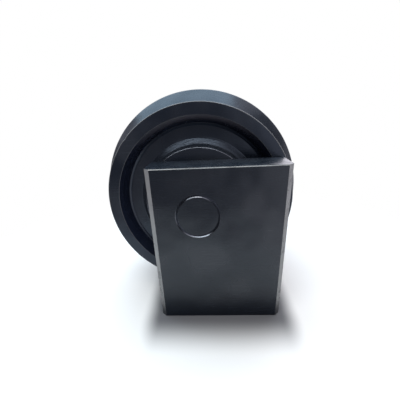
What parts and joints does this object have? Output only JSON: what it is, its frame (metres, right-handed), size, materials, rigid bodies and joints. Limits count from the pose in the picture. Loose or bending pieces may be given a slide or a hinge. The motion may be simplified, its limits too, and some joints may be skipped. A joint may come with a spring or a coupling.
{
  "type": "front idler",
  "caption": "Track guide wheel with a central flange, spinning on a fixed cross shaft held by two box-shaped slide brackets that bolt to a tensioning yoke.",
  "frame": {"origin": "on the brackets' yoke faces, below the middle of the shaft", "axes": "+Y along the shaft, from the front bracket to the back one; +Z from the yoke faces towards the shaft, the way the idler points on the machine; +X towards the brackets' longer side"},
  "size_m": [0.356, 0.282, 0.3709],
  "materials": {
    "black_paint_wheel": "glossy black enamel over cast and machined steel",
    "black_paint_brackets": "glossy black enamel over welded steel plate",
    "black_paint_shaft": "black enamel over a turned steel end",
    "machined_steel": "turned and ground",
    "zinc_steel": "zinc plated",
    "seal_iron": "cast, with a lapped sealing face",
    "seal_rubber": "matte nitrile rubber",
    "bearing_bronze": "bronze lined",
    "sealing_copper": "soft annealed copper"
  },
  "bodies": {
    "carrier": {"shaft": "black_paint_shaft", "oil_plug": "zinc_steel", "oil_plug_washer": "sealing_copper", "front_fixed_seal_ring": "seal_iron", "front_fixed_toric_ring": "seal_rubber", "front_seal_collar": "machined_steel", "front_shaft_oring": "seal_rubber", "front_bracket_face_plate": "black_paint_brackets", "front_bracket_inner_plate": "black_paint_brackets", "front_bracket_left_side": "black_paint_brackets", "front_bracket_right_side": "black_paint_brackets", "front_bracket_top_plate": "black_paint_brackets", "front_bracket_base_plate": "black_paint_brackets", "front_bracket_boss": "black_paint_brackets", "front_bracket_rib": "black_paint_brackets", "front_lock_pin": "machined_steel", "front_lock_pin_plug": "black_paint_brackets", "back_fixed_seal_ring": "seal_iron", "back_fixed_toric_ring": "seal_rubber", "back_seal_collar": "machined_steel", "back_shaft_oring": "seal_rubber", "back_bracket_face_plate": "black_paint_brackets", "back_bracket_inner_plate": "black_paint_brackets", "back_bracket_left_side": "black_paint_brackets", "back_bracket_right_side": "black_paint_brackets", "back_bracket_top_plate": "black_paint_brackets", "back_bracket_base_plate": "black_paint_brackets", "back_bracket_boss": "black_paint_brackets", "back_bracket_rib": "black_paint_brackets", "back_lock_pin": "machined_steel", "back_lock_pin_plug": "black_paint_brackets"},
    "wheel": {"wheel_rim": "black_paint_wheel", "wheel_hub": "black_paint_wheel", "front_web_disc": "black_paint_wheel", "front_bushing": "bearing_bronze", "front_seal_guard": "black_paint_wheel", "front_rotating_seal_ring": "seal_iron", "front_rotating_toric_ring": "seal_rubber", "back_web_disc": "black_paint_wheel", "back_bushing": "bearing_bronze", "back_seal_guard": "black_paint_wheel", "back_rotating_seal_ring": "seal_iron", "back_rotating_toric_ring": "seal_rubber"}
  },
  "joints": [
    {"name": "wheel_spin", "type": "hinge", "parent": "carrier", "child": "wheel", "pos_m": [0, 0, 0.193], "axis": [0, 1, 0], "continuous": true}
  ]
}
